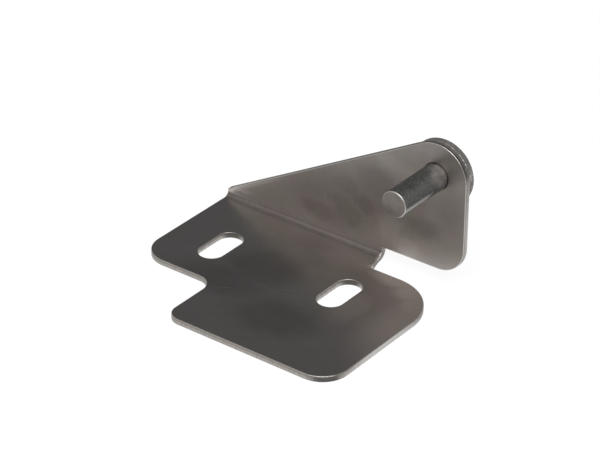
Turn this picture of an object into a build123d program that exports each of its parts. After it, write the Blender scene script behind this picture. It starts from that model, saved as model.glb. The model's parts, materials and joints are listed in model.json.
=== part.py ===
from build123d import *
from math import asin, atan2, degrees, hypot, tan
import os

# Door hinge bracket: one folded stainless sheet with a headed pivot pin through its upright flange.
# X runs along the bend, the flange stands at the +Y side of the plate, and Z is up.
# The origin is on the plate's underside, midway between the centres of the two fixing slots.

# Sheet and bend
SHEET = 2.2
BEND_INSIDE = 2.2

# Base plate, with depths measured forwards from the flange's front face
PLATE_WIDTH = 100.0
PLATE_DEPTH = 74.3
WING_WIDTH = 32.9
WING_DEPTH = 48.7
WING_CORNER = 10.4
STEP_INNER_CORNER = 6.0
STEP_OUTER_CORNER = 5.4
FRONT_CORNER = 9.9
REAR_CORNER = 18.9

# Fixing slots, whose long axes run across the bend
SLOT_WIDTH = 9.5
SLOT_LENGTH = 19.3
SLOT_SPACING = 50.6
SLOT_SETBACK = 28.8
FIRST_SLOT_INSET = 19.9

# Relief notch at the right end of the bend, whose side leans by its taper and is widest along the bend
RELIEF_WIDTH = 32.8
RELIEF_DEPTH = 9.3
RELIEF_TAPER = 2.0
RELIEF_CORNER = 0.6

# Flange, whose top right corner is struck from the pin's axis
FLANGE_TOP_RADIUS = 12.1
FLANGE_LOWER_CORNER = 10.1
FLANGE_TOE_RISE = 0.4
FLANGE_TOE_CORNER = 0.4
FLANGE_HEEL_RISE = 0.65
PIN_HEIGHT = 39.8

# Turned pin, whose thicker root stands in the flange's hole and ends flush with its front face
PIN_DIAMETER = 9.5
PIN_REACH = 23.8
PIN_END_CHAMFER = 0.5
PIN_ROOT_STEP = 0.2
PIN_HOLE_CLEARANCE = 0.1
HEAD_DIAMETER = 24.0
HEAD_THICKNESS = 3.0
HEAD_BACK_ROUND = 0.9
HEAD_FRONT_ROUND = 0.4

# Places worked out from the sizes above
plate_left = -(FIRST_SLOT_INSET + SLOT_SPACING / 2)
plate_right = plate_left + PLATE_WIDTH
step_x = plate_left + WING_WIDTH
relief_x = plate_right - RELIEF_WIDTH

flange_front = SLOT_SETBACK
flange_back = flange_front + SHEET
plate_front = flange_front - PLATE_DEPTH
wing_front = flange_front - WING_DEPTH
relief_y = flange_front - RELIEF_DEPTH

bend_outside = BEND_INSIDE + SHEET
bend_start_y = flange_front - BEND_INSIDE
bend_end_z = bend_outside
bend_axis = Plane(origin=(plate_left, bend_start_y, bend_end_z), x_dir=(0, 1, 0), z_dir=(1, 0, 0))

pin_x = plate_right - FLANGE_TOP_RADIUS
toe_z = bend_end_z + FLANGE_TOE_RISE
heel_z = bend_end_z + FLANGE_HEEL_RISE

# The sloping top edge leaves the toe and runs tangent to the arc about the pin
toe_to_pin = hypot(pin_x - plate_left, PIN_HEIGHT - toe_z)
rise_to_pin = atan2(PIN_HEIGHT - toe_z, pin_x - plate_left)
slope = rise_to_pin + asin(FLANGE_TOP_RADIUS / toe_to_pin)
peak_z = toe_z + PLATE_WIDTH * tan(slope)

# Plan outline of the base plate, up to the start of the bend
plate_corners = [
    ((plate_left, bend_start_y), 0),
    ((plate_left, wing_front), WING_CORNER),
    ((step_x, wing_front), STEP_INNER_CORNER),
    ((step_x, plate_front), STEP_OUTER_CORNER),
    ((plate_right, plate_front), FRONT_CORNER),
    ((plate_right, relief_y), REAR_CORNER),
    ((relief_x + RELIEF_TAPER, relief_y), RELIEF_CORNER),
    ((relief_x, bend_start_y), 0),
]

# Front outline of the flange, from the end of the bend upwards
flange_corners = [
    ((plate_left, bend_end_z), 0),
    ((relief_x, bend_end_z), 0),
    ((relief_x, heel_z), RELIEF_CORNER),
    ((plate_right, heel_z), FLANGE_LOWER_CORNER),
    ((plate_right, peak_z), FLANGE_TOP_RADIUS),
    ((plate_left, toe_z), FLANGE_TOE_CORNER),
]

# Half section of the pin: radius first, then the distance forwards from the flange's back face
shank_radius = PIN_DIAMETER / 2
root_radius = shank_radius + PIN_ROOT_STEP
hole_radius = root_radius + PIN_HOLE_CLEARANCE
head_radius = HEAD_DIAMETER / 2
pin_end = SHEET + PIN_REACH
pin_corners = [
    ((0, -HEAD_THICKNESS), 0),
    ((head_radius, -HEAD_THICKNESS), HEAD_BACK_ROUND),
    ((head_radius, 0), HEAD_FRONT_ROUND),
    ((root_radius, 0), 0),
    ((root_radius, SHEET), 0),
    ((shank_radius, SHEET), 0),
    ((shank_radius, pin_end - PIN_END_CHAMFER), 0),
    ((shank_radius - PIN_END_CHAMFER, pin_end), 0),
    ((0, pin_end), 0),
]

# Plane of the flange's back face, whose Z points forwards, and the plane of the pin's section
flange_rear = Plane(origin=(0, flange_back, 0), x_dir=(1, 0, 0), z_dir=(0, -1, 0))
pin_section = Plane(origin=(pin_x, flange_back, PIN_HEIGHT), x_dir=(1, 0, 0), z_dir=(0, 0, -1))


def outline(corners):
    """Draws a closed outline from its sharp corners, each rounded by its own radius."""
    points = [point for point, radius in corners]
    radii = [radius for point, radius in corners]
    FilletPolyline(*points, radius=radii, close=True)


# Folded bracket
with BuildPart() as bracket:
    with BuildSketch(Plane.XY) as plate_outline:
        with BuildLine():
            outline(plate_corners)
        make_face()
        with GridLocations(SLOT_SPACING, 0, 2, 1):
            SlotOverall(SLOT_LENGTH, SLOT_WIDTH, rotation=90, mode=Mode.SUBTRACT)
    extrude(amount=SHEET)

    with BuildSketch(bend_axis) as bend_section:
        with BuildLine():
            outer = CenterArc((0, 0), bend_outside, -90, 90)
            inner = CenterArc((0, 0), BEND_INSIDE, -90, 90)
            Line(inner @ 0, outer @ 0)
            Line(inner @ 1, outer @ 1)
        make_face()
    extrude(amount=relief_x - plate_left)

    with BuildSketch(flange_rear) as flange_outline:
        with BuildLine():
            outline(flange_corners)
        make_face()
        with Locations((pin_x, PIN_HEIGHT)):
            Circle(hole_radius, mode=Mode.SUBTRACT)
    extrude(amount=SHEET)

bracket.part.label = "bracket"

# Headed pin, turned about its own axis
with BuildPart() as hinge_pin:
    with BuildSketch(pin_section) as half_section:
        with BuildLine():
            outline(pin_corners)
        make_face()
    revolve(axis=Axis(pin_section.origin, pin_section.y_dir))

hinge_pin.part.label = "hinge_pin"

os.makedirs("parts", exist_ok=True)
export_step(bracket.part, "parts/bracket.step")
export_step(hinge_pin.part, "parts/hinge_pin.step")

print("slope of the flange's top edge, degrees:", round(degrees(slope), 2))
print("pin axis at x, z:", round(pin_x, 3), PIN_HEIGHT, "slot centres at x:", -SLOT_SPACING / 2, SLOT_SPACING / 2)
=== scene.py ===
"""Looks of a door hinge bracket: one folded stainless sheet with a headed pivot pin.

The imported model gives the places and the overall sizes. Both pieces are modelled again here with broken
edges and the marks of their making, and then dressed, lit and framed as in the reference view.
"""

import json
import logging
import math
from dataclasses import dataclass, field
from enum import Enum
from functools import partial, reduce
from typing import Callable, Mapping, Sequence, Union

import bpy
from bpy.types import Material, Node, NodeSocket as Socket, NodeTree, Object
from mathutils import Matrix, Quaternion, Vector


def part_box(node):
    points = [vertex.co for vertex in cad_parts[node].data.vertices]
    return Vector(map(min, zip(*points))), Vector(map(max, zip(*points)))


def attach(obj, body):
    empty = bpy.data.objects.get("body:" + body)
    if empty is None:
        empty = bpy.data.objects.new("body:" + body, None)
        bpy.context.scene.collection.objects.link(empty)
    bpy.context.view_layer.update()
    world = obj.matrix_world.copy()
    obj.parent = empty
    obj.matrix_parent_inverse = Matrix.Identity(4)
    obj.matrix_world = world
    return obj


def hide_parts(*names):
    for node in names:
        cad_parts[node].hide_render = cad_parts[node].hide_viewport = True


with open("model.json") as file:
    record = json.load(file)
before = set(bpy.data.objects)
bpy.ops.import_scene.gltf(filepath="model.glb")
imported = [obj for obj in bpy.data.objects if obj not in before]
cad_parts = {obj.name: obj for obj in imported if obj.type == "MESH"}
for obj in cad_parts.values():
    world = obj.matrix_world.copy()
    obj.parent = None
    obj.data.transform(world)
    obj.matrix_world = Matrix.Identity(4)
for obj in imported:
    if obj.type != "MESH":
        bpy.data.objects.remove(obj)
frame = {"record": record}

log = logging.getLogger("hinge_bracket")

MM = 0.001
WELD = 0.0005 * MM
UP = Vector((0.0, 0.0, 1.0))
BLACK = (0.0, 0.0, 0.0)
WHITE = (1.0, 1.0, 1.0)
FACE_WEIGHT = 80
NOISE_SPAN = (0.3, 0.7)

Span = tuple[float, float]
Triple = tuple[float, float, float]
Colour = Triple
Feed = Union[Socket, Vector, tuple, float]
Feeds = Mapping[Union[str, int], Feed]


class Element(Enum):
    """The kind of mesh element that a selection is made of."""

    VERTICES = "VERT"
    FACES = "FACE"


class Work(Enum):
    """How a surface of the sheet was made, which is also the order of its material slots."""

    ROLLED = 0
    SHEARED = 1
    PUNCHED = 2


class Turning(Enum):
    """The zones of the turned pin, in the order of its material slots."""

    SHANK = 0
    FREE_END = 1
    HEAD = 2


@dataclass(frozen=True)
class Corner:
    """A sharp corner of an outline and the radius that rounds it."""

    point: Vector
    radius: float = 0.0


def deselect_all() -> None:
    """Clears the selection, which the loaded nodes hold at first."""
    bpy.ops.object.select_all(action="DESELECT")


def take(obj: Object) -> None:
    """Makes one object the only selected and the active one."""
    deselect_all()
    obj.select_set(True)
    bpy.context.view_layer.objects.active = obj


def edit(obj: Object, element: Element = Element.VERTICES) -> None:
    """Opens an object in edit mode with one kind of selection."""
    take(obj)
    bpy.ops.object.mode_set(mode="EDIT")
    bpy.ops.mesh.select_mode(type=element.value)


def edit_all(obj: Object, element: Element = Element.VERTICES) -> None:
    """Opens an object in edit mode with all of it selected."""
    edit(obj, element)
    bpy.ops.mesh.select_all(action="SELECT")


def close_edit() -> None:
    """Goes back from edit mode to object mode."""
    bpy.ops.object.mode_set(mode="OBJECT")


def close_skin() -> None:
    """Merges what lies doubled, turns the normals outwards and goes back to object mode."""
    bpy.ops.mesh.select_all(action="SELECT")
    bpy.ops.mesh.remove_doubles(threshold=WELD)
    bpy.ops.mesh.normals_make_consistent(inside=False)
    close_edit()


def select_vertices(obj: Object, wanted: Callable[[Vector], bool]) -> None:
    """Opens an object in edit mode with the vertices selected that lie in a wanted place.

    Args:
        obj: The mesh object, whose vertices are in the row frame.
        wanted: Says of a vertex's place whether it is selected.
    """
    edit(obj)
    bpy.ops.mesh.select_all(action="DESELECT")
    close_edit()
    for vertex in obj.data.vertices:
        vertex.select = wanted(vertex.co)
    bpy.ops.object.mode_set(mode="EDIT")


def extrude(offset: Vector) -> None:
    """Extrudes what is selected."""
    bpy.ops.mesh.extrude_region_move(TRANSFORM_OT_translate={"value": offset})


def spin(angle: float, centre: Vector, axis: Vector, steps: int) -> None:
    """Spins what is selected, with a positive angle turning by the right-hand rule.

    With no window the operator counts the angle the other way, so its sign is turned here.

    Args:
        angle: The turn, in radians.
        centre: A point on the axis.
        axis: The axis of the turn.
        steps: How many copies the turn is made of.
    """
    bpy.ops.mesh.spin(steps=steps, dupli=False, angle=-angle, center=centre, axis=axis)


def lone_vertex(name: str, place: Vector) -> Object:
    """Adds a small plane and merges it to one vertex, the start of a drawn outline.

    Args:
        name: The object's name.
        place: Where the vertex lies.

    Returns:
        The object, open in edit mode with its vertex selected.
    """
    deselect_all()
    bpy.ops.mesh.primitive_plane_add(size=MM, location=place)
    obj = bpy.context.object
    obj.name = name
    bpy.ops.object.transform_apply(location=True, rotation=True, scale=True)
    edit_all(obj)
    bpy.ops.mesh.merge(type="CENTER")
    return obj


def draw_outline(name: str, corners: Sequence[Corner], arc_step: float, closed: bool) -> Object:
    """Draws an outline through its corners: straight runs are extruded and rounded corners are spun.

    Args:
        name: The object's name.
        corners: The corners in order. The first one is sharp.
        arc_step: The length of one step along a rounded corner.
        closed: Whether the last corner joins the first.

    Returns:
        The object, in object mode, holding only vertices and edges.
    """
    pen = corners[0].point.copy()
    obj = lone_vertex(name, pen)
    last = len(corners) if closed else len(corners) - 1
    for index in range(1, last):
        corner = corners[index]
        inwards = (corner.point - corners[index - 1].point).normalized()
        onwards = (corners[(index + 1) % len(corners)].point - corner.point).normalized()
        turn = inwards.angle(onwards)
        setback = corner.radius * math.tan(turn / 2)
        arc_start = corner.point - inwards * setback
        extrude(arc_start - pen)
        pen = arc_start
        if corner.radius > 0.0:
            axis = inwards.cross(onwards).normalized()
            centre = arc_start + axis.cross(inwards) * corner.radius
            steps = max(4, round(corner.radius * turn / arc_step))
            spin(turn, centre, axis, steps)
            pen = corner.point + onwards * setback
    end = corners[0] if closed else corners[-1]
    extrude(end.point - pen)
    bpy.ops.mesh.select_all(action="SELECT")
    bpy.ops.mesh.remove_doubles(threshold=WELD)
    close_edit()
    return obj


def fill_outline(obj: Object) -> None:
    """Fills a closed outline with one face."""
    edit_all(obj)
    bpy.ops.mesh.edge_face_add()
    close_edit()


def apply_modifier(obj: Object, kind: str, **settings: object) -> None:
    """Adds a modifier with these settings and applies it.

    Args:
        obj: The object to work on.
        kind: Blender's name for the kind of modifier.
        **settings: The modifier's properties.
    """
    take(obj)
    modifier = obj.modifiers.new(kind.lower(), kind)
    for name, value in settings.items():
        setattr(modifier, name, value)
    bpy.ops.object.modifier_apply(modifier=modifier.name)


def cut_away(obj: Object, cutter: Object) -> None:
    """Cuts a cutter's shape out of an object and removes the cutter."""
    settings = {"operation": "DIFFERENCE", "solver": "EXACT", "material_mode": "TRANSFER"}
    apply_modifier(obj, "BOOLEAN", object=cutter, **settings)
    bpy.data.objects.remove(cutter)


def smooth_faces(obj: Object) -> None:
    """Shades an object smooth and keeps its wide flat faces flat."""
    take(obj)
    bpy.ops.object.shade_smooth()
    apply_modifier(obj, "WEIGHTED_NORMAL", weight=FACE_WEIGHT, keep_sharp=False)


@dataclass
class Bracket:
    """The folded sheet: a base plate with two slots, one bend and the upright flange.

    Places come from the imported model. The fields are the sizes that its box doesn't give.
    """

    sheet: float = 2.2 * MM
    bend_inside: float = 2.2 * MM
    wing_width: float = 32.9 * MM
    wing_depth: float = 48.7 * MM
    wing_corner: float = 10.4 * MM
    step_inner_corner: float = 6.0 * MM
    step_outer_corner: float = 5.4 * MM
    front_corner: float = 9.9 * MM
    rear_corner: float = 18.9 * MM
    relief_width: float = 32.8 * MM
    relief_depth: float = 9.3 * MM
    relief_taper: float = 2.0 * MM
    relief_corner: float = 0.6 * MM
    flange_top_radius: float = 12.1 * MM
    flange_lower_corner: float = 10.1 * MM
    toe_rise: float = 0.4 * MM
    toe_corner: float = 0.4 * MM
    heel_rise: float = 0.65 * MM
    hole_radius: float = 4.92 * MM
    edge_break: float = 0.22 * MM
    edge_segments: int = 3
    edge_angle: float = math.radians(50)
    arc_step: float = 0.5 * MM
    bend_steps: int = 16
    hole_sides: int = 128
    mounts: Mapping[str, dict] = field(default_factory=dict)

    def __post_init__(self) -> None:
        """Works out the places that the outlines share."""
        low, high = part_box("bracket")
        self.left, self.right = low.x, high.x
        self.front, self.flange_back = low.y, high.y
        self.flange_front = self.flange_back - self.sheet
        self.step_x = self.left + self.wing_width
        self.wing_front = self.flange_front - self.wing_depth
        self.relief_x = self.right - self.relief_width
        self.relief_y = self.flange_front - self.relief_depth
        self.bend_outside = self.bend_inside + self.sheet
        self.bend_y = self.flange_back - self.bend_outside
        self.pin_place = Vector(self.mounts["pivot_pin"]["pos_m"])

    def plate_corners(self) -> list[Corner]:
        """Returns the base plate's outline on its underside, up to the start of the bend."""
        outline = [
            (self.left, self.bend_y, 0.0),
            (self.left, self.wing_front, self.wing_corner),
            (self.step_x, self.wing_front, self.step_inner_corner),
            (self.step_x, self.front, self.step_outer_corner),
            (self.right, self.front, self.front_corner),
            (self.right, self.relief_y, self.rear_corner),
            (self.relief_x + self.relief_taper, self.relief_y, self.relief_corner),
            (self.relief_x, self.bend_y, 0.0),
        ]
        return [Corner(Vector((x, y, 0.0)), radius) for x, y, radius in outline]

    def flange_corners(self) -> list[Corner]:
        """Returns the flange's outline on its back face. Its top runs tangent to the arc about the pin."""
        toe = self.bend_outside + self.toe_rise
        heel = self.bend_outside + self.heel_rise
        run = self.pin_place.x - self.left
        rise = self.pin_place.z - toe
        slope = math.atan2(rise, run) + math.asin(self.flange_top_radius / math.hypot(run, rise))
        peak = toe + (self.right - self.left) * math.tan(slope)
        outline = [
            (self.left, self.bend_outside, 0.0),
            (self.relief_x, self.bend_outside, 0.0),
            (self.relief_x, heel, self.relief_corner),
            (self.right, heel, self.flange_lower_corner),
            (self.right, peak, self.flange_top_radius),
            (self.left, toe, self.toe_corner),
        ]
        return [Corner(Vector((x, self.flange_back, z)), radius) for x, z, radius in outline]

    def fold_sheet(self) -> Object:
        """Draws the sheet's outer skin: the plate's underside, the bend and the flange's back.

        Returns:
            The skin, which has no thickness yet, with its normals pointing outwards.
        """
        skin = draw_outline("bracket_sheet", self.plate_corners(), self.arc_step, closed=True)
        fill_outline(skin)
        bend_centre = Vector((0.0, self.bend_y, self.bend_outside))
        select_vertices(skin, lambda place: abs(place.y - self.bend_y) < WELD)
        bpy.ops.mesh.duplicate()
        spin(math.radians(90), bend_centre, Vector((1.0, 0.0, 0.0)), self.bend_steps)
        close_edit()
        flange = draw_outline("flange", self.flange_corners(), self.arc_step, closed=True)
        fill_outline(flange)
        take(flange)
        skin.select_set(True)
        bpy.context.view_layer.objects.active = skin
        bpy.ops.object.join()
        edit(skin, Element.FACES)
        close_skin()
        widest = max(skin.data.polygons, key=lambda polygon: polygon.area)
        if widest.normal.z > 0.0:
            edit_all(skin, Element.FACES)
            bpy.ops.mesh.flip_normals()
            close_edit()
        return skin

    def slot_cutter(self, mount: dict, material: Material) -> Object:
        """Models a rod of a fixing slot's shape, long across the bend.

        Args:
            mount: The slot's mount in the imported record.
            material: The finish that the cut walls take.

        Returns:
            The cutter, which stands through the plate.
        """
        radius = mount["dims"]["hole_r_mm"] * MM
        reach = mount["dims"]["slot_length_mm"] * MM / 2
        centre = Vector(mount["pos_m"]) - UP * self.sheet
        outline = [(1, 0, 0.0), (1, 1, radius), (-1, 1, radius), (-1, -1, radius), (1, -1, radius)]
        places = [(centre + Vector((radius * x, reach * y, 0.0)), rounded) for x, y, rounded in outline]
        corners = [Corner(place, rounded) for place, rounded in places]
        cutter = draw_outline("slot_cutter", corners, self.arc_step / 2, closed=True)
        fill_outline(cutter)
        edit_all(cutter, Element.FACES)
        extrude(UP * 3 * self.sheet)
        close_skin()
        cutter.data.materials.append(material)
        return cutter

    def slot_end(self, name: str) -> "Spot":
        """Returns the patch of painted shade on the rear end wall of a slot."""
        mount = self.mounts[name]
        reach = mount["dims"]["slot_length_mm"] * MM / 2
        radius = mount["dims"]["hole_r_mm"] * MM
        middle = Vector(mount["pos_m"]) + Vector((-0.5 * radius, reach, self.sheet / 2))
        return Spot(middle, Vector((radius, radius, 2 * self.sheet)), 0.3, 0.9)

    def hole_cutter(self, material: Material) -> Object:
        """Models the drill for the pin's hole, with the finish that the hole's wall takes."""
        deselect_all()
        bpy.ops.mesh.primitive_cylinder_add(
            vertices=self.hole_sides,
            radius=self.hole_radius,
            depth=4 * self.sheet,
            location=(self.pin_place.x, self.flange_back, self.pin_place.z),
            rotation=(math.radians(90), 0.0, 0.0),
        )
        cutter = bpy.context.object
        bpy.ops.object.transform_apply(location=True, rotation=True, scale=True)
        cutter.data.materials.append(material)
        return cutter

    def build(self, finishes: Mapping[Work, Material]) -> Object:
        """Models and dresses the bracket.

        Args:
            finishes: The material of each kind of surface.

        Returns:
            The finished bracket, at the origin.
        """
        bracket = self.fold_sheet()
        bracket.data.materials.clear()
        for work in Work:
            bracket.data.materials.append(finishes[work])
        punched = finishes[Work.PUNCHED]
        apply_modifier(
            bracket,
            "SOLIDIFY",
            thickness=self.sheet,
            offset=-1.0,
            use_even_offset=True,
            use_quality_normals=True,
            material_offset_rim=Work.SHEARED.value,
        )
        for name in ("slot_left", "slot_right"):
            cut_away(bracket, self.slot_cutter(self.mounts[name], punched))
        apply_modifier(
            bracket,
            "BEVEL",
            width=self.edge_break,
            segments=self.edge_segments,
            limit_method="ANGLE",
            angle_limit=self.edge_angle,
            use_clamp_overlap=False,
            material=Work.SHEARED.value,
        )
        cut_away(bracket, self.hole_cutter(punched))
        smooth_faces(bracket)
        return bracket


@dataclass
class HingePin:
    """The turned pin: a shank with a chamfered free end, and a round head behind the flange."""

    end_chamfer: float = 0.32 * MM
    head_back_round: float = 0.9 * MM
    head_front_round: float = 0.4 * MM
    edge_break: float = 0.08 * MM
    edge_segments: int = 2
    edge_angle: float = math.radians(30)
    arc_step: float = 0.12 * MM
    turns: int = 128
    flange_back: float = 0.0
    mounts: Mapping[str, dict] = field(default_factory=dict)

    def __post_init__(self) -> None:
        """Works out the pin's axis and its stations along it."""
        low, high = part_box("hinge_pin")
        self.free_end, self.head_end = low.y, high.y
        self.head_radius = (high.x - low.x) / 2
        self.axis_place = Vector(((low.x + high.x) / 2, 0.0, (low.z + high.z) / 2))
        self.shank_radius = self.mounts["pivot_pin"]["dims"]["r_mm"] * MM
        self.face_radius = self.shank_radius - self.end_chamfer

    def section_corners(self) -> list[Corner]:
        """Returns the pin's half section, from the middle of its head to the middle of its free end."""
        section = [
            (0.0, self.head_end, 0.0),
            (self.head_radius, self.head_end, self.head_back_round),
            (self.head_radius, self.flange_back, self.head_front_round),
            (self.shank_radius, self.flange_back, 0.0),
            (self.shank_radius, self.free_end + self.end_chamfer, 0.0),
            (self.face_radius, self.free_end, 0.0),
            (0.0, self.free_end, 0.0),
        ]
        return [Corner(self.axis_place + Vector((out, along, 0.0)), radius) for out, along, radius in section]

    def dress(self, pin: Object, zone: Turning, wanted: Callable[[Vector], bool]) -> None:
        """Gives the finish of one zone to the faces whose corners all lie in a wanted place."""
        select_vertices(pin, wanted)
        bpy.ops.mesh.select_mode(type=Element.FACES.value)
        pin.active_material_index = zone.value
        bpy.ops.object.material_slot_assign()
        close_edit()

    def build(self, finishes: Mapping[Turning, Material]) -> Object:
        """Turns the half section round its axis and dresses the pin.

        Args:
            finishes: The material of each zone.

        Returns:
            The finished pin, at the origin.
        """
        pin = draw_outline("hinge_pin_turned", self.section_corners(), self.arc_step, closed=False)
        edit_all(pin)
        spin(math.radians(360), self.axis_place, Vector((0.0, 1.0, 0.0)), self.turns)
        close_skin()
        pin.data.materials.clear()
        for zone in Turning:
            pin.data.materials.append(finishes[zone])
        self.dress(pin, Turning.FREE_END, lambda place: place.y < self.free_end + self.end_chamfer + WELD)
        self.dress(pin, Turning.HEAD, lambda place: place.y > self.flange_back - WELD)
        apply_modifier(
            pin,
            "BEVEL",
            width=self.edge_break,
            segments=self.edge_segments,
            limit_method="ANGLE",
            angle_limit=self.edge_angle,
        )
        smooth_faces(pin)
        return pin


def opaque(colour: Feed) -> Feed:
    """Returns a colour with full alpha, or a socket as it is."""
    return (*colour, 1.0) if isinstance(colour, tuple) else colour


class Graph:
    """Adds nodes to one node tree, from left to right, and links them."""

    def __init__(self, tree: NodeTree) -> None:
        """Empties the tree."""
        self.tree = tree
        self.tree.nodes.clear()

    def node(self, kind: str, feeds: Feeds | None = None, **settings: object) -> Node:
        """Adds a node.

        Args:
            kind: Blender's name for the kind of node.
            feeds: What each input takes, a socket to link or a value to hold.
            **settings: The node's own properties, set before its inputs.

        Returns:
            The node.
        """
        made = self.tree.nodes.new(kind)
        made.location = (200 * len(self.tree.nodes), 0)
        for name, value in settings.items():
            setattr(made, name, value)
        for name, value in (feeds or {}).items():
            if isinstance(value, Socket):
                self.tree.links.new(value, made.inputs[name])
            else:
                made.inputs[name].default_value = value
        return made

    def math(self, operation: str, first: Feed, second: Feed = 0.0) -> Socket:
        """Returns the result of a Math node."""
        return self.node("ShaderNodeMath", {0: first, 1: second}, operation=operation).outputs[0]

    def plus(self, *values: Feed) -> Socket:
        """Returns a sum."""
        return reduce(partial(self.math, "ADD"), values)

    def minus(self, first: Feed, second: Feed) -> Socket:
        """Returns a difference."""
        return self.math("SUBTRACT", first, second)

    def times(self, *values: Feed) -> Socket:
        """Returns a product."""
        return reduce(partial(self.math, "MULTIPLY"), values)

    def highest(self, *values: Feed) -> Socket:
        """Returns the highest of several values at each place."""
        return reduce(partial(self.math, "MAXIMUM"), values)

    def vector(self, operation: str, first: Feed, second: Feed = (0.0, 0.0, 0.0)) -> Socket:
        """Returns the result of a Vector Math node, a vector or, for a length or a dot product, a value."""
        made = self.node("ShaderNodeVectorMath", {0: first, 1: second}, operation=operation)
        return made.outputs["Value" if operation in ("LENGTH", "DOT_PRODUCT") else "Vector"]

    def axes(self, place: Feed) -> Mapping[str, Socket]:
        """Returns a place's parts along X, Y and Z."""
        return self.node("ShaderNodeSeparateXYZ", {"Vector": place}).outputs

    def level(self, value: Feed, start: Feed, end: Feed, low: Feed = 0.0, high: Feed = 1.0) -> Socket:
        """Returns a value mapped with a soft start and end.

        Args:
            value: The value to map.
            start: Where the change starts.
            end: Where it ends. It must lie above the start.
            low: The result at the start.
            high: The result at the end.

        Returns:
            The mapped value.
        """
        feeds = {"Value": value, "From Min": start, "From Max": end, "To Min": low, "To Max": high}
        return self.node("ShaderNodeMapRange", feeds, interpolation_type="SMOOTHSTEP").outputs["Result"]

    def between(self, mask: Feed, low: Feed, high: Feed) -> Socket:
        """Returns a value that goes softly from low to high as a mask goes from 0 to 1."""
        return self.level(mask, 0.0, 1.0, low, high)

    def blend(self, factor: Feed, first: Feed, second: Feed, how: str = "MIX") -> Socket:
        """Returns the mix of two colours."""
        feeds = {0: factor, 6: opaque(first), 7: opaque(second)}
        return self.node("ShaderNodeMix", feeds, data_type="RGBA", blend_type=how).outputs[2]

    def noise(
        self, place: Feed, scale: Feed, detail: float = 2.0, roughness: float = 0.5, output: str = "Fac"
    ) -> Socket:
        """Returns an output of a Noise Texture node."""
        feeds = {"Vector": place, "Scale": scale, "Detail": detail, "Roughness": roughness}
        return self.node("ShaderNodeTexNoise", feeds).outputs[output]

    def pattern(self, place: Feed, scale: Feed, detail: float = 2.0, roughness: float = 0.5) -> Socket:
        """Returns a noise stretched to the whole span from 0 to 1."""
        return self.level(self.noise(place, scale, detail, roughness), *NOISE_SPAN)

    def effect(self, tree: NodeTree, feeds: Feeds) -> Mapping[str, Socket]:
        """Returns the outputs of one of the shared groups."""
        return self.node("ShaderNodeGroup", feeds, node_tree=tree).outputs


class Kind(Enum):
    """The kinds of socket that the shared groups have."""

    VALUE = "NodeSocketFloat"
    VECTOR = "NodeSocketVector"
    COLOUR = "NodeSocketColor"


PLACE_AND_SCALE = {"Place": Kind.VECTOR, "Scale": Kind.VALUE}


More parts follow.
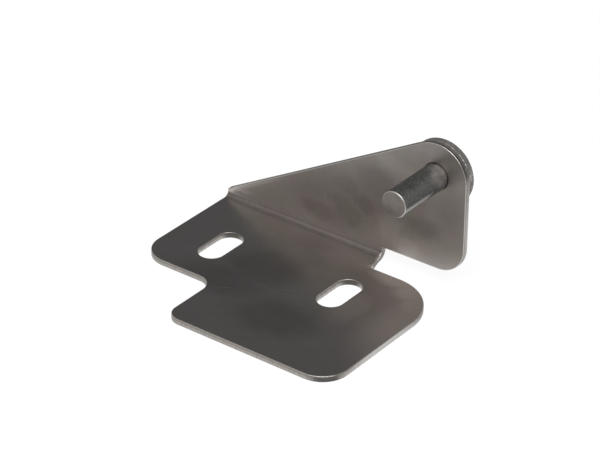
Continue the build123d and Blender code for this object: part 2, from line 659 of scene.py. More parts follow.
@dataclass
class Effects:
    """The node groups that more than one finish uses, made once."""

    sheet: float
    bend_inside: float
    bend_y: float
    warm: Colour = (1.03, 0.995, 0.965)
    olive: Colour = (1.0, 1.0, 0.965)
    violet: Colour = (1.02, 0.98, 0.995)
    mottle_scale: float = 0.2
    hair_stretch: float = 0.035
    gate_scale: float = 0.08
    ragged_scale: float = 1.6

    def __post_init__(self) -> None:
        """Makes every group."""
        self.cloudy_tint = self.make_cloudy_tint()
        self.fine_grain = self.make_fine_grain()
        self.scratches = self.make_scratches()
        self.sheet_depth = self.make_sheet_depth()
        self.spot = self.make_spot()
        self.drawn_line = self.make_drawn_line()

    def start(
        self, name: str, inputs: Mapping[str, Kind], outputs: Mapping[str, Kind]
    ) -> tuple[Graph, Mapping[str, Socket]]:
        """Starts a group.

        Args:
            name: The group's name.
            inputs: The kind of each input socket.
            outputs: The kind of each output socket.

        Returns:
            The group's graph and the sockets that its inputs come in by.
        """
        tree = bpy.data.node_groups.new(name, "ShaderNodeTree")
        for side, sockets in (("INPUT", inputs), ("OUTPUT", outputs)):
            for label, kind in sockets.items():
                tree.interface.new_socket(label, in_out=side, socket_type=kind.value)
        graph = Graph(tree)
        return graph, graph.node("NodeGroupInput").outputs

    def make_cloudy_tint(self) -> NodeTree:
        """Returns a soft play of tints, warm, olive and violet, with a cloud of its own."""
        outputs = {"Tint": Kind.COLOUR, "Cloud": Kind.VALUE}
        graph, given = self.start("cloudy_tint", PLACE_AND_SCALE, outputs)
        clouds = graph.noise(given["Place"], given["Scale"], detail=3.0, roughness=0.55, output="Color")
        parts = graph.node("ShaderNodeSeparateColor", {"Color": clouds}).outputs
        warm = graph.blend(graph.level(parts[0], 0.38, 0.62), self.warm, self.olive)
        tint = graph.blend(graph.level(parts[1], 0.46, 0.64), warm, self.violet)
        cloud = graph.level(parts[2], *NOISE_SPAN)
        graph.node("NodeGroupOutput", {"Tint": tint, "Cloud": cloud})
        return graph.tree

    def make_fine_grain(self) -> NodeTree:
        """Returns a fine speckle, with a coarser mottle under it."""
        outputs = {"Speckle": Kind.VALUE, "Mottle": Kind.VALUE}
        graph, given = self.start("fine_grain", PLACE_AND_SCALE, outputs)
        fine = graph.pattern(given["Place"], given["Scale"], detail=3.0, roughness=0.7)
        coarse_scale = graph.times(given["Scale"], self.mottle_scale)
        coarse = graph.pattern(given["Place"], coarse_scale, detail=2.0, roughness=0.6)
        graph.node("NodeGroupOutput", {"Speckle": fine, "Mottle": coarse})
        return graph.tree

    def make_scratches(self) -> NodeTree:
        """Returns sparse hairlines, which run across the bend as the sheet was rolled."""
        graph, given = self.start("scratches", PLACE_AND_SCALE, {"Mask": Kind.VALUE})
        stretched = graph.vector("MULTIPLY", given["Place"], (1.0, self.hair_stretch, self.hair_stretch))
        lines = graph.noise(stretched, given["Scale"], detail=2.0, roughness=0.6)
        gate = graph.noise(given["Place"], graph.times(given["Scale"], self.gate_scale), detail=2.0)
        mask = graph.times(graph.level(lines, 0.56, 0.70), graph.level(gate, 0.42, 0.62))
        graph.node("NodeGroupOutput", {"Mask": mask})
        return graph.tree

    def make_sheet_depth(self) -> NodeTree:
        """Returns how deep a place lies in the sheet, from 0 at its inner face to 1 at its outer face.

        The inner face is the plate's top, the inside of the bend and the flange's front.
        """
        graph, given = self.start("sheet_depth", {"Place": Kind.VECTOR}, {"Depth": Kind.VALUE})
        parts = graph.axes(given["Place"])
        back = graph.highest(graph.minus(parts["Y"], self.bend_y), 0.0)
        down = graph.highest(graph.minus(self.bend_inside + self.sheet, parts["Z"]), 0.0)
        from_axis = graph.node("ShaderNodeCombineXYZ", {"X": back, "Y": down}).outputs[0]
        past = graph.minus(graph.vector("LENGTH", from_axis), self.bend_inside)
        graph.node("NodeGroupOutput", {"Depth": graph.math("DIVIDE", past, self.sheet)})
        return graph.tree

    def make_spot(self) -> NodeTree:
        """Returns a ragged patch round a middle place."""
        inputs = {"Place": Kind.VECTOR, "Middle": Kind.VECTOR, "Reach": Kind.VECTOR, "Ragged": Kind.VALUE}
        graph, given = self.start("spot", inputs, {"Mask": Kind.VALUE})
        away = graph.vector("SUBTRACT", given["Place"], given["Middle"])
        away = graph.vector("DIVIDE", away, given["Reach"])
        rough = graph.noise(away, self.ragged_scale, detail=3.0, roughness=0.6)
        rough = graph.times(graph.minus(rough, 0.5), given["Ragged"])
        distance = graph.plus(graph.vector("LENGTH", away), rough)
        graph.node("NodeGroupOutput", {"Mask": graph.level(distance, 0.35, 1.05, 1.0, 0.0)})
        return graph.tree

    def make_drawn_line(self) -> NodeTree:
        """Returns a straight mark that fades at its ends."""
        inputs = {name: Kind.VECTOR for name in ("Place", "Middle", "Direction")}
        inputs.update({name: Kind.VALUE for name in ("Half Length", "Half Width")})
        graph, given = self.start("drawn_line", inputs, {"Mask": Kind.VALUE})
        away = graph.vector("SUBTRACT", given["Place"], given["Middle"])
        along = graph.vector("DOT_PRODUCT", away, given["Direction"])
        feeds = {0: given["Direction"], "Scale": along}
        scaled = graph.node("ShaderNodeVectorMath", feeds, operation="SCALE").outputs["Vector"]
        across = graph.vector("LENGTH", graph.vector("SUBTRACT", away, scaled))
        side = graph.level(across, 0.0, given["Half Width"], 1.0, 0.0)
        short = graph.times(given["Half Length"], 0.5)
        end = graph.level(graph.math("ABSOLUTE", along), short, given["Half Length"], 1.0, 0.0)
        graph.node("NodeGroupOutput", {"Mask": graph.times(side, end)})
        return graph.tree


@dataclass(frozen=True)
class Spot:
    """A patch at a place, with its reach along each axis."""

    middle: Vector
    reach: Vector
    ragged: float
    strength: float = 1.0

    def mask(self, canvas: "Canvas") -> Socket:
        """Returns the patch's mask."""
        feeds = {"Place": canvas.place, "Middle": self.middle, "Reach": self.reach, "Ragged": self.ragged}
        return canvas.times(canvas.effect(canvas.effects.spot, feeds)["Mask"], self.strength)


@dataclass(frozen=True)
class Mark:
    """A straight mark between two places."""

    start: Vector
    end: Vector
    half_width: float
    strength: float = 1.0

    def mask(self, canvas: "Canvas") -> Socket:
        """Returns the mark's mask."""
        run = self.end - self.start
        feeds = {
            "Place": canvas.place,
            "Middle": (self.start + self.end) / 2,
            "Direction": run.normalized(),
            "Half Length": run.length / 2,
            "Half Width": self.half_width,
        }
        return canvas.times(canvas.effect(canvas.effects.drawn_line, feeds)["Mask"], self.strength)


def patch(middle: Triple, reach: Triple, ragged: float, strength: float = 1.0) -> Spot:
    """Returns a patch from its place and reach in millimetres."""
    return Spot(Vector(middle) * MM, Vector(reach) * MM, ragged, strength)


def line(start: Triple, end: Triple, half_width: float, strength: float = 1.0) -> Mark:
    """Returns a straight mark from its places and half width in millimetres."""
    return Mark(Vector(start) * MM, Vector(end) * MM, half_width * MM, strength)


class Canvas(Graph):
    """The graph of one material, with the place on the piece and the clouds and grain of its metal."""

    def __init__(self, name: str, effects: Effects, cloud_scale: float, grain_scale: float) -> None:
        """Starts the material.

        Args:
            name: The material's name.
            effects: The shared groups.
            cloud_scale: The scale of its cloudy tints.
            grain_scale: The scale of its fine grain.
        """
        self.material = bpy.data.materials.new(name)
        self.material.use_nodes = True
        super().__init__(self.material.node_tree)
        self.effects = effects
        self.place = self.node("ShaderNodeTexCoord").outputs["Object"]
        clouds = self.effect(effects.cloudy_tint, {"Place": self.place, "Scale": cloud_scale})
        grain = self.effect(effects.fine_grain, {"Place": self.place, "Scale": grain_scale})
        self.tint, self.cloud = clouds["Tint"], clouds["Cloud"]
        self.speckle, self.mottle = grain["Speckle"], grain["Mottle"]

    def joined(self, marks: Sequence[Union[Spot, Mark]]) -> Socket:
        """Returns the highest mask of several patches or marks at each place."""
        return self.highest(*[mark.mask(self) for mark in marks])

    def from_axis(self, centre: Vector) -> Socket:
        """Returns the distance from the axis that runs along Y through a place."""
        away = self.vector("SUBTRACT", self.place, centre)
        return self.vector("LENGTH", self.vector("MULTIPLY", away, (1.0, 0.0, 1.0)))

    def layered(self, colour: Feed, *layers: tuple[Feed, Colour]) -> Socket:
        """Returns a colour in cloudy tints, with layers over it that are each a mask and a colour."""
        layered = self.blend(1.0, colour, self.tint, "MULTIPLY")
        for mask, layer in layers:
            layered = self.blend(mask, layered, layer)
        return layered

    def metal(
        self, colour: Feed, metallic: Feed, roughness: Feed, height: Feed, relief: float
    ) -> Material:
        """Ends the graph with a metallic surface in a fine relief.

        Args:
            colour: The base colour.
            metallic: How metallic it is, from 0 to 1.
            roughness: How rough it is, from 0 to 1.
            height: The pattern of the relief.
            relief: How high a pattern of 1 stands.

        Returns:
            The material.
        """
        bump = self.node("ShaderNodeBump", {"Strength": 1.0, "Distance": relief, "Height": height})
        feeds = {"Base Color": colour, "Metallic": metallic, "Roughness": roughness}
        shader = self.node("ShaderNodeBsdfPrincipled", {**feeds, "Normal": bump.outputs[0]})
        self.node("ShaderNodeOutputMaterial", {"Surface": shader.outputs[0]})
        return self.material


@dataclass(frozen=True)
class RolledSheet:
    """The sheet's rolled faces: satin stainless steel with faint tints, scratches and fine grain, with
    patches of painted shade and sheen, painted highlight lines, and painted shade in the bend and round the
    pin's hole.
    """

    effects: Effects
    pin_place: Vector
    hole_radius: float
    colour: Colour = (0.55, 0.528, 0.51)
    dark: Colour = (0.115, 0.085, 0.08)
    bright: Colour = (0.86, 0.80, 0.76)
    roughness: float = 0.305
    cloud_roughness: Span = (-0.015, 0.02)
    mottle_roughness: Span = (-0.01, 0.01)
    flange_dullness: float = 0.07
    flange_starts: Span = (1.2, 1.5)
    bend_dullness: float = 0.2
    bend_shade: float = 0.6
    bend_shade_starts: Span = (-0.12, 0.6)
    bend_shade_ends: Span = (0.95, 1.52)
    shade_under_marks: float = 0.3
    painted_patch_shade: float = 0.2
    cloud_shade: float = 0.1
    grain_shade: float = 0.06
    hole_shade: float = 0.55
    hole_shade_start: float = 0.02 * MM
    hole_shade_end: float = 0.32 * MM
    lift: float = 0.9
    mark_lift: float = 0.45
    hair_lift: float = 0.1
    cloud_scale: float = 75.0
    grain_scale: float = 2600.0
    hair_scale: float = 1400.0
    line_scale: float = 9000.0
    line_stretch: float = 0.02
    relief: float = 0.006 * MM
    # Patches of painted shade: on the flange they stand for dark reflections of the slots and the dim
    # surroundings, on the plate for a darker middle.
    painted_shade_patches: Sequence[Spot] = (
        patch((3.0, 28.8, 17.0), (8.5, 4.0, 4.5), 1.0, 1.3),
        patch((-5.0, 28.8, 10.5), (11.0, 4.0, 5.5), 0.9, 1.3),
        patch((8.0, 28.8, 13.0), (10.0, 4.0, 6.5), 0.9, 1.4),
        patch((14.0, 28.8, 19.0), (7.5, 4.0, 6.5), 1.0, 1.5),
        patch((7.0, 28.8, 24.0), (10.0, 4.0, 6.5), 0.8, 1.3),
        patch((19.0, 28.8, 29.0), (14.0, 4.0, 10.5), 0.8, 1.3),
        patch((37.5, 28.8, 18.6), (10.0, 4.0, 5.5), 1.0, 1.2),
        patch((32.0, 28.8, 43.5), (14.0, 4.0, 6.0), 0.8, 0.9),
        patch((49.0, 28.8, 27.5), (6.0, 4.0, 9.0), 0.8, 0.5),
        patch((4.0, 28.8, 21.0), (42.0, 4.0, 19.0), 0.9, 0.9),
        patch((-4.0, -2.0, 2.2), (19.0, 15.0, 3.0), 0.8, 1.5),
        patch((-12.0, -17.0, 2.2), (24.0, 12.0, 3.0), 0.6, 1.2),
        patch((18.0, -25.0, 2.2), (22.0, 13.0, 3.0), 0.6, 1.2),
    )
    # Patches of painted sheen and highlight: glints at the notch's corner, a sheen along the plate's back
    # edge and right corner, and lighter places on the flange that stand for its reflections.
    painted_sheen: Sequence[Spot] = (
        patch((-38.9, 28.6, 6.1), (6.0, 3.0, 1.6), 0.7, 0.4),
        patch((25.0, 28.8, 12.5), (7.0, 3.0, 9.0), 0.7, 0.35),
        patch((31.0, 28.8, 8.5), (9.0, 3.0, 6.0), 0.7, 0.45),
        patch((44.0, 28.8, 9.0), (13.0, 3.0, 7.0), 0.8, 0.15),
        patch((52.0, 28.8, 43.0), (5.0, 3.0, 9.0), 0.6, 0.22),
        patch((58.0, -6.0, 2.2), (20.0, 30.0, 3.0), 0.25, 0.8),
        patch((36.0, 18.5, 2.2), (14.0, 6.0, 3.0), 0.3, 0.9),
        patch((51.0, 9.5, 2.2), (9.0, 11.0, 3.0), 0.2, 1.0),
        patch((45.0, 14.5, 2.2), (9.0, 7.5, 3.0), 0.2, 1.0),
        patch((33.5, -5.0, 2.2), (8.0, 13.0, 3.0), 0.6, 0.4),
        patch((14.0, 19.0, 2.2), (15.0, 6.5, 3.0), 0.6, 0.25),
        patch((22.2, 26.4, 3.0), (2.0, 1.8, 1.8), 1.0, 0.9),
        patch((23.3, 20.2, 2.2), (2.0, 1.8, 1.6), 1.0, 0.8),
    )
    # Light lines: a painted light streak across the flange's left part, a painted highlight line along the
    # inside of the bend, and short light marks on the plate and at the start of the bend.
    drawn: Sequence[Mark] = (
        line((-72.0, 28.8, -11.0), (-15.0, 28.8, 20.6), 1.0),
        line((-60.0, 28.21, 2.9), (70.0, 28.21, 2.9), 0.2, 0.3),
        line((-8.5, -21.8, 2.2), (-5.0, -19.0, 2.2), 0.3, 1.3),
        line((8.4, -10.7, 2.2), (13.6, -6.7, 2.2), 0.32, 1.1),
        line((-2.6, 26.3, 2.5), (-0.6, 27.0, 2.9), 0.3),
    )

    def bend_angle(self, graph: Canvas) -> Socket:
        """Returns the angle round the bend, from 0 at the plate to a quarter turn at the flange."""
        parts = graph.axes(graph.place)
        back = graph.minus(parts["Y"], self.effects.bend_y)
        down = graph.minus(self.effects.bend_inside + self.effects.sheet, parts["Z"])
        return graph.math("ARCTAN2", back, down)

    def build(self) -> Material:
        """Returns the material."""
        graph = Canvas("rolled_sheet", self.effects, self.cloud_scale, self.grain_scale)
        hairs = graph.effect(self.effects.scratches, {"Place": graph.place, "Scale": self.hair_scale})["Mask"]
        painted_shade_mask = graph.joined(self.painted_shade_patches)
        painted_sheen = graph.joined(self.painted_sheen)
        drawn = graph.joined(self.drawn)

        past_hole = graph.minus(graph.from_axis(self.pin_place), self.hole_radius)
        angle = self.bend_angle(graph)
        bent = graph.times(
            graph.level(angle, *self.bend_shade_starts),
            graph.level(angle, *self.bend_shade_ends, 1.0, 0.0),
            graph.between(drawn, 1.0, self.shade_under_marks),
        )
        shade = graph.plus(
            # painted shade in patches
            graph.times(painted_shade_mask, self.painted_patch_shade),
            graph.between(graph.cloud, 0.0, self.cloud_shade),
            graph.between(graph.speckle, 0.0, self.grain_shade),
            graph.level(past_hole, self.hole_shade_start, self.hole_shade_end, self.hole_shade, 0.0),
            graph.times(bent, self.bend_shade),
        )
        # The drawn marks hold painted highlight lines; the hairs are real scratches.
        marks = graph.highest(graph.times(drawn, self.mark_lift), graph.times(hairs, self.hair_lift))
        # Painted sheen, painted highlight lines and the light scratches lift the colour towards bright.
        lift = graph.times(graph.highest(painted_sheen, marks), self.lift)
        colour = graph.layered(self.colour, (shade, self.dark), (lift, self.bright))

        roughness = graph.plus(
            graph.between(graph.cloud, *self.cloud_roughness),
            self.roughness,
            graph.between(graph.mottle, *self.mottle_roughness),
            graph.times(bent, self.bend_dullness),
            graph.level(angle, *self.flange_starts, 0.0, self.flange_dullness),
        )
        drawn_out = graph.vector("MULTIPLY", graph.place, (1.0, self.line_stretch, self.line_stretch))
        lines = graph.noise(drawn_out, self.line_scale, detail=2.0, roughness=0.6)
        return graph.metal(colour, 1.0, roughness, lines, self.relief)


@dataclass(frozen=True)
class ShearedEdge:
    """The sheet's cut edges: a smooth dark zone under the inner face, a torn lighter zone, worn bright
    arrises, painted highlights at glints and painted shade in spots.
    """

    effects: Effects
    name: str = "sheared_edge"
    smooth_zone: Colour = (0.41, 0.385, 0.36)
    torn_zone: Colour = (0.66, 0.64, 0.62)
    arris: Colour = (0.88, 0.86, 0.83)
    painted_shade_colour: Colour = (0.175, 0.162, 0.153)
    stroke_colour: Colour = (0.14, 0.125, 0.115)
    torn_starts: Span = (0.34, 0.54)
    zone_wander: float = 0.16
    arris_reach: Span = (0.034, 0.085)
    arris_in_painted_shade: float = 0.3
    stroke_strength: Span = (0.15, 0.4)
    zone_roughness: Span = (0.34, 0.46)
    grain_roughness: float = 0.08
    cloud_scale: float = 160.0
    grain_scale: float = 3000.0
    stroke_scale: float = 2200.0
    stroke_stretch: float = 0.06
    grain_height: float = 0.4
    relief: float = 0.012 * MM
    # Spots of painted shade: the front corner, the notch's end face, the toe and the rear ends of the slots.
    painted_shade_spots: Sequence[Spot] = (
        patch((51.9, -42.6, 1.0), (6.5, 6.5, 6.0), 0.4, 1.0),
        patch((23.5, 24.5, 1.5), (6.0, 9.0, 6.0), 0.4, 0.45),
        patch((-45.2, 29.8, 4.0), (3.0, 4.5, 6.0), 0.3, 0.85),
        patch((-25.3, 8.7, 2.1), (6.0, 3.4, 3.0), 0.3, 1.0),
        patch((25.3, 8.7, 2.1), (6.0, 3.4, 3.0), 0.3, 0.7),
    )
    # Painted highlights: glints at the notch, lighter right-hand walls of the flange and of the plate, and a
    # light line along the front corner's arris.
    glints: Sequence[Spot] = (
        patch((22.2, 26.6, 2.6), (1.8, 1.8, 1.8), 1.0),
        patch((23.6, 20.2, 2.2), (1.8, 1.6, 1.4), 1.0),
        patch((54.8, 31.2, 22.0), (2.5, 2.6, 21.0), 0.3, 0.55),
        patch((54.8, -16.0, 0.8), (2.5, 24.0, 3.0), 0.4, 0.8),
        patch((50.5, -42.5, 2.15), (8.0, 5.0, 0.35), 0.2, 0.65),
    )

    def strokes(self, graph: Canvas) -> Socket:
        """Returns the strokes through the sheet's thickness, along Y in the flange and along Z elsewhere."""
        in_depth = graph.vector("MULTIPLY", graph.place, (1.0, self.stroke_stretch, 1.0))
        in_height = graph.vector("MULTIPLY", graph.place, (1.0, 1.0, self.stroke_stretch))
        parts = graph.axes(graph.place)
        in_flange = graph.math("GREATER_THAN", parts["Y"], self.effects.bend_y)
        stretched = graph.blend(in_flange, in_height, in_depth)
        return graph.pattern(stretched, self.stroke_scale, detail=3.0, roughness=0.65)

    def rubbed_and_lit(self, graph: Canvas, depth: Feed, painted_shade_spots: Feed) -> Socket:
        """Returns where the edge is bright: along both worn arrises, less in the painted shade, and at the
        painted glints.
        """
        full, faded = self.arris_reach
        near_inner = graph.level(depth, full, faded, 1.0, 0.0)
        near_outer = graph.level(depth, 1.0 - faded, 1.0 - full)
        arrises = graph.highest(near_inner, near_outer)
        arrises = graph.times(arrises, graph.between(painted_shade_spots, 1.0, self.arris_in_painted_shade))
        return graph.highest(arrises, graph.joined(self.glints))

    def build(self) -> Material:
        """Returns the material."""
        graph = Canvas(self.name, self.effects, self.cloud_scale, self.grain_scale)
        depth = graph.effect(self.effects.sheet_depth, {"Place": graph.place})["Depth"]
        strokes = self.strokes(graph)
        wandering = graph.plus(depth, graph.times(graph.minus(strokes, 0.5), self.zone_wander))
        torn = graph.level(wandering, *self.torn_starts)
        painted_shade_spots = graph.joined(self.painted_shade_spots)
        rubbed_and_lit = self.rubbed_and_lit(graph, depth, painted_shade_spots)

        zones = graph.blend(torn, self.smooth_zone, self.torn_zone)
        in_stroke = graph.times(graph.minus(1.0, strokes), graph.between(torn, *self.stroke_strength))
        layers = ((in_stroke, self.stroke_colour), (painted_shade_spots, self.painted_shade_colour), (rubbed_and_lit, self.arris))
        colour = graph.layered(zones, *layers)
        grainy = graph.between(graph.speckle, 0.0, self.grain_roughness)
        roughness = graph.plus(graph.between(torn, *self.zone_roughness), grainy)
        height = graph.plus(graph.times(strokes, torn), graph.times(graph.speckle, self.grain_height))
        height = graph.times(height, graph.minus(1.0, rubbed_and_lit))
        return graph.metal(colour, 1.0, roughness, height, self.relief)


@dataclass(frozen=True)
class DarkShank:
    """The pin's shank: dark oxide with a fine speckle, a painted highlight line along one side and a painted
    lighter band, filmed near its root and painted dark where it enters the hole.
    """

    effects: Effects
    centre: Vector
    radius: float
    root: float
    colour: Colour = (0.060, 0.060, 0.057)
    haze: Colour = (0.3, 0.3, 0.28)
    fleck: Colour = (0.42, 0.43, 0.41)
    highlight_colour: Colour = (0.67, 0.67, 0.66)
    film: Colour = (0.42, 0.375, 0.35)
    # Painted shade: the shank turns near black just before it enters the flange's hole.
    root_shade: Colour = (0.01, 0.01, 0.01)
    # A painted highlight line along the shank's right side, a little below its middle, polished and bright.
    highlight_angle: float = math.radians(-17)
    highlight_ends: Span = (-5.0 * MM, 22.0 * MM)
    highlight_half_width: float = 1.5 * MM
    # A painted sheen: a broad lighter band along the shank's upper right side.
    broad_angle: float = math.radians(32)
    broad_ends: Span = (-5.0 * MM, 30.0 * MM)
    broad_half_width: float = 3.6 * MM
    broad_strength: float = 0.24
    film_angle: float = math.radians(40)
    film_along: float = 26.8 * MM
    film_reach: Triple = (5.4 * MM, 6.0 * MM, 5.2 * MM)
    film_ragged: float = 1.2
    film_strength: float = 0.55
    film_mottle: Span = (0.5, 1.0)
    haze_strength: float = 0.06
    fleck_start: float = 0.5
    fleck_strength: float = 0.34
    film_metallic: float = 0.25
    roughness: Span = (0.42, 0.56)
    highlight_polish: float = 0.16
    root_shade_start: float = 0.28 * MM
    root_shade_end: float = 0.04 * MM
    cloud_scale: float = 260.0
    grain_scale: float = 1800.0
    relief: float = 0.006 * MM

    def around(self, angle: float, along: float) -> Vector:
        """Returns the place on the shank at an angle about its axis and a place along it."""
        out = Vector((math.cos(angle), 0.0, math.sin(angle))) * self.radius
        return Vector((self.centre.x, along, self.centre.z)) + out

    def band(self, angle: float, ends: Span, half_width: float, strength: float = 1.0) -> Mark:
        """Returns a mark that runs along the shank at an angle about its axis."""
        return Mark(self.around(angle, ends[0]), self.around(angle, ends[1]), half_width, strength)

    def build(self) -> Material:
        """Returns the material."""
        graph = Canvas("dark_shank", self.effects, self.cloud_scale, self.grain_scale)
        painted_highlight = self.band(self.highlight_angle, self.highlight_ends, self.highlight_half_width).mask(graph)
        painted_sheen_band = self.band(self.broad_angle, self.broad_ends, self.broad_half_width, self.broad_strength)
        film_middle = self.around(self.film_angle, self.film_along)
        film = Spot(film_middle, Vector(self.film_reach), self.film_ragged, self.film_strength)
        along = graph.axes(graph.place)["Y"]
        colour = graph.layered(
            self.colour,
            (graph.between(graph.cloud, 0.0, self.haze_strength), self.haze),
            (graph.level(graph.speckle, self.fleck_start, 1.0, 0.0, self.fleck_strength), self.fleck),
            (painted_sheen_band.mask(graph), self.fleck),
            (graph.times(film.mask(graph), graph.between(graph.mottle, *self.film_mottle)), self.film),
            (graph.level(along, self.root - self.root_shade_start, self.root - self.root_shade_end), self.root_shade),
            (painted_highlight, self.highlight_colour),
        )
        metallic = graph.highest(painted_highlight, self.film_metallic)
        grainy = graph.between(graph.speckle, *self.roughness)
        roughness = graph.minus(grainy, graph.times(painted_highlight, self.highlight_polish))
        return graph.metal(colour, metallic, roughness, graph.plus(graph.speckle, graph.mottle), self.relief)


@dataclass(frozen=True)
class FacedEnd:
    """The pin's free end: a faced disc with faint tool rings, inside a worn bright chamfer."""

    effects: Effects
    centre: Vector
    rim_start: float
    rim_blur: float = 0.1 * MM
    colour: Colour = (0.40, 0.372, 0.35)
    haze: Colour = (0.2, 0.18, 0.17)
    haze_strength: float = 0.25
    ring: Colour = (0.25, 0.24, 0.23)
    ring_strength: float = 0.1
    rim: Colour = (0.72, 0.70, 0.68)
    rim_dullness: float = 0.06
    roughness: Span = (0.40, 0.52)
    cloud_scale: float = 300.0
    grain_scale: float = 2600.0
    ring_scale: float = 6000.0
    relief: float = 0.004 * MM

    def build(self) -> Material:
        """Returns the material."""
        graph = Canvas("faced_end", self.effects, self.cloud_scale, self.grain_scale)
        radius = graph.from_axis(self.centre)
        tool = graph.node("ShaderNodeCombineXYZ", {"X": radius}).outputs[0]
        rings = graph.pattern(tool, self.ring_scale, detail=1.0)
        rim = graph.level(radius, self.rim_start - self.rim_blur, self.rim_start + self.rim_blur)
        hazy = graph.between(graph.cloud, 0.0, self.haze_strength)
        ringed = graph.between(rings, 0.0, self.ring_strength)
        colour = graph.layered(self.colour, (hazy, self.haze), (ringed, self.ring), (rim, self.rim))
        grainy = graph.between(graph.speckle, *self.roughness)
        roughness = graph.plus(grainy, graph.times(rim, self.rim_dullness))
        return graph.metal(colour, 1.0, roughness, graph.plus(rings, graph.speckle), self.relief)


@dataclass(frozen=True)
class RoughHead:
    """The pin's head: rough headed steel, matt and mottled, with bright high spots that crowd into a painted
    highlight at its upper right rim.
    """

    effects: Effects
    colour: Colour = (0.365, 0.35, 0.337)
    hollow: Colour = (0.12, 0.11, 0.10)
    high: Colour = (0.92, 0.89, 0.85)
    # A painted highlight: the high spots crowd and brighten at the head's upper right rim.
    rubbed_and_lit: Spot = patch((53.2, 32.5, 45.0), (4.5, 4.0, 7.5), 0.8)
    highlight_rise: float = 0.4
    high_starts: Span = (0.5, 0.57)
    high_strength: Span = (0.3, 1.0)
    hollow_strength: float = 0.3
    metallic: Span = (0.65, 1.0)
    roughness: Span = (0.56, 0.34)
    grain_height: float = 0.5
    cloud_scale: float = 220.0
    grain_scale: float = 2000.0
    lump_scale: float = 900.0
    relief: float = 0.09 * MM

    def build(self) -> Material:
        """Returns the material."""
        graph = Canvas("rough_head", self.effects, self.cloud_scale, self.grain_scale)
        lumps = graph.pattern(graph.place, self.lump_scale, detail=3.0, roughness=0.65)
        rubbed_and_lit = self.rubbed_and_lit.mask(graph)
        raised = graph.plus(graph.times(lumps, graph.speckle), graph.times(rubbed_and_lit, self.highlight_rise))
        high = graph.times(graph.level(raised, *self.high_starts), graph.between(rubbed_and_lit, *self.high_strength))
        hollow = graph.between(lumps, self.hollow_strength, 0.0)
        colour = graph.layered(self.colour, (hollow, self.hollow), (high, self.high))
        height = graph.plus(lumps, graph.times(graph.speckle, self.grain_height))
        metallic = graph.between(high, *self.metallic)
        return graph.metal(colour, metallic, graph.between(high, *self.roughness), height, self.relief)


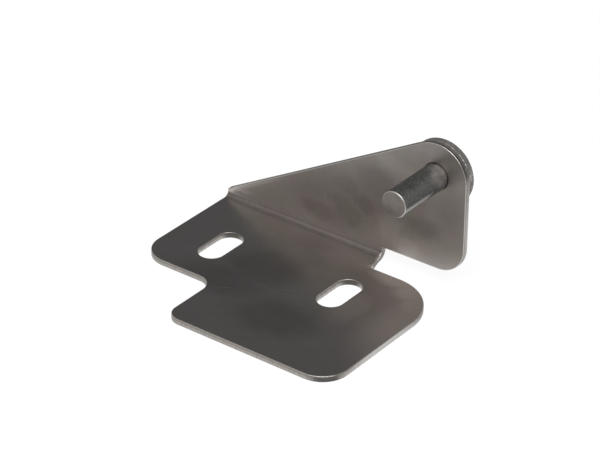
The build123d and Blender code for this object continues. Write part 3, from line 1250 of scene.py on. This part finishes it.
@dataclass
class Studio:
    """The floor, the surroundings, the lamp and the camera."""

    slots: Sequence[Vector]
    slot_reach: Vector = field(default_factory=lambda: Vector((9.0, 15.0, 5.0)) * MM)
    slot_shade: float = 0.2
    slot_near: float = 12 * MM
    slot_far: float = 25 * MM
    floor_size: float = 6.0
    floor_drop: float = 0.03 * MM
    white_reach: float = 0.13
    near_white: float = 0.67
    far_white: float = 0.25
    lit: float = 0.8
    shade: float = 0.15
    glow: float = 0.92
    aim: Vector = field(default_factory=lambda: Vector((6.085, 3.380, 19.914)) * MM)
    azimuth: float = 37.195
    elevation: float = 30.293
    roll: float = 0.322
    distance: float = 866.27 * MM
    lens: float = 156.0
    sensor: float = 36.0
    near_clip: float = 0.01
    far_clip: float = 20.0
    bright_side: Triple = (-0.6, -0.8, 0.0)
    side_starts: Span = (-0.1, 0.6)
    bright_starts: Span = (0.1, 0.38)
    ceiling_starts: Span = (0.6, 0.8)
    cool: Colour = (0.97, 1.0, 1.03)
    warm: Colour = (1.04, 1.0, 0.965)
    dim: float = 0.112
    low_wall: float = 0.22
    bright: float = 0.42
    ceiling: float = 0.16
    lamp_place: Vector = field(default_factory=lambda: Vector((0.45, -0.54, 1.32)))
    lamp_size: float = 1.3
    lamp_power: float = 15.5

    def place_camera(self) -> None:
        """Adds the camera, which looks at the object as the reference view does."""
        azimuth, elevation = math.radians(self.azimuth), math.radians(self.elevation)
        level = math.cos(elevation)
        back = Vector((math.sin(azimuth) * level, -math.cos(azimuth) * level, math.sin(elevation)))
        deselect_all()
        bpy.ops.object.camera_add(location=self.aim + back * self.distance)
        camera = bpy.context.object
        camera.rotation_mode = "QUATERNION"
        turn = Quaternion((0.0, 0.0, 1.0), math.radians(self.roll))
        camera.rotation_quaternion = (-back).to_track_quat("-Z", "Y") @ turn
        camera.data.lens = self.lens
        camera.data.sensor_width = self.sensor
        camera.data.clip_start = self.near_clip
        camera.data.clip_end = self.far_clip
        bpy.context.scene.camera = camera

    def under_slot(self, graph: Graph, place: Feed, slot: Vector) -> Socket:
        """Returns the mask of the floor under a slot, which lies in the plate's shade."""
        away = graph.vector("DIVIDE", graph.vector("SUBTRACT", place, slot), self.slot_reach)
        return graph.level(graph.vector("LENGTH", away), 0.6, 1.2, 1.0, 0.0)

    def lay_floor(self) -> None:
        """Lays the light floor, which shows white to the camera and still takes a soft shadow; in reflections
        it dims further out and takes painted shade under the slots.
        """
        deselect_all()
        bpy.ops.mesh.primitive_plane_add(size=self.floor_size, location=(0.0, 0.0, -self.floor_drop))
        floor = bpy.context.object
        floor.name = "floor"
        material = bpy.data.materials.new("white_floor")
        material.use_nodes = True
        graph = Graph(material.node_tree)
        rays = graph.node("ShaderNodeLightPath").outputs
        seen = graph.highest(rays["Is Camera Ray"], rays["Is Glossy Ray"], rays["Is Transmission Ray"])
        place = graph.node("ShaderNodeTexCoord").outputs["Object"]
        distance = graph.vector("LENGTH", place)
        near = graph.level(distance, self.white_reach, 2 * self.white_reach, 1.0, self.far_white)
        # Painted shade under the slots, seen only in longer reflections.
        under = graph.highest(*[self.under_slot(graph, place, slot) for slot in self.slots])
        under = graph.times(under, graph.level(rays["Ray Length"], self.slot_near, self.slot_far))
        near = graph.times(near, self.near_white, graph.between(under, 1.0, self.slot_shade))
        near = graph.highest(near, rays["Is Camera Ray"])
        lit = graph.node("ShaderNodeBsdfDiffuse", {"Color": opaque((self.lit,) * 3)})
        grey = graph.blend(near, BLACK, (self.shade,) * 3)
        shade = graph.node("ShaderNodeBsdfDiffuse", {"Color": grey})
        strength = graph.times(near, self.glow)
        glow = graph.node("ShaderNodeEmission", {"Color": opaque(WHITE), "Strength": strength})
        white = graph.node("ShaderNodeAddShader", {0: shade.outputs[0], 1: glow.outputs[0]})
        mixed = graph.node("ShaderNodeMixShader", {0: seen, 1: lit.outputs[0], 2: white.outputs[0]})
        graph.node("ShaderNodeOutputMaterial", {"Surface": mixed.outputs[0]})
        floor.data.materials.append(material)

    def hang_surroundings(self) -> None:
        """Gives the world a dim side and a bright side, and a white backdrop for the camera."""
        world = bpy.data.worlds.new("studio_walls")
        world.use_nodes = True
        graph = Graph(world.node_tree)
        direction = graph.node("ShaderNodeTexCoord").outputs["Generated"]
        parts = graph.axes(direction)
        side = graph.level(graph.vector("DOT_PRODUCT", direction, self.bright_side), *self.side_starts)
        wall = graph.level(parts["Z"], *self.bright_starts, self.low_wall, self.bright)
        wall = graph.level(parts["Z"], *self.ceiling_starts, wall, self.ceiling)
        level = graph.between(side, self.dim, wall)
        tint = graph.blend(side, self.cool, self.warm)
        seen = graph.node("ShaderNodeLightPath").outputs["Is Camera Ray"]
        strength = graph.highest(level, seen)
        colour = graph.blend(seen, tint, WHITE)
        background = graph.node("ShaderNodeBackground", {"Color": colour, "Strength": strength})
        graph.node("ShaderNodeOutputWorld", {"Surface": background.outputs[0]})
        bpy.context.scene.world = world

    def hang_lamp(self) -> None:
        """Hangs the square soft lamp, which faces the object."""
        deselect_all()
        bpy.ops.object.light_add(type="AREA", location=self.lamp_place)
        lamp = bpy.context.object
        lamp.name = "key_lamp"
        lamp.data.shape = "SQUARE"
        lamp.data.size = self.lamp_size
        lamp.data.energy = self.lamp_power
        lamp.rotation_mode = "QUATERNION"
        lamp.rotation_quaternion = (self.aim - self.lamp_place).to_track_quat("-Z", "Y")

    def build(self) -> None:
        """Sets up the whole studio."""
        bpy.context.scene.view_settings.view_transform = "Standard"
        self.lay_floor()
        self.hang_surroundings()
        self.hang_lamp()
        self.place_camera()


def main() -> None:
    """Builds the bracket, the pin and the studio."""
    logging.basicConfig(level=logging.INFO, format="%(name)s: %(message)s")
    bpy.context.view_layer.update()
    mounts = {mount["name"]: mount for mount in frame["record"]["mounts"]}

    sheet = Bracket(mounts=mounts)
    effects = Effects(sheet.sheet, sheet.bend_inside, sheet.bend_y)
    bracket = sheet.build(
        {
            Work.ROLLED: RolledSheet(effects, sheet.pin_place, sheet.hole_radius).build(),
            Work.SHEARED: ShearedEdge(effects).build(),
            Work.PUNCHED: ShearedEdge(
                effects,
                name="punched_wall",
                smooth_zone=(0.34, 0.32, 0.30),
                torn_zone=(0.76, 0.74, 0.72),
                painted_shade_colour=(0.13, 0.115, 0.105),
                # painted shade on the rear end walls of the slots
                painted_shade_spots=[sheet.slot_end(name) for name in ("slot_left", "slot_right")],
            ).build(),
        }
    )
    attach(bracket, "root")
    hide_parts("bracket")
    log.info("bracket: %d faces", len(bracket.data.polygons))

    turned = HingePin(flange_back=sheet.flange_back, mounts=mounts)
    finishes = {
        Turning.SHANK: DarkShank(effects, turned.axis_place, turned.shank_radius, sheet.flange_front).build(),
        Turning.FREE_END: FacedEnd(effects, turned.axis_place, turned.face_radius).build(),
        Turning.HEAD: RoughHead(effects).build(),
    }
    pin = turned.build(finishes)
    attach(pin, "root")
    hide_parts("hinge_pin")
    log.info("pin: %d faces", len(pin.data.polygons))

    Studio([Vector(mounts[name]["pos_m"]) for name in ("slot_left", "slot_right")]).build()
    log.info("boxes written")


if __name__ == "__main__":
    main()
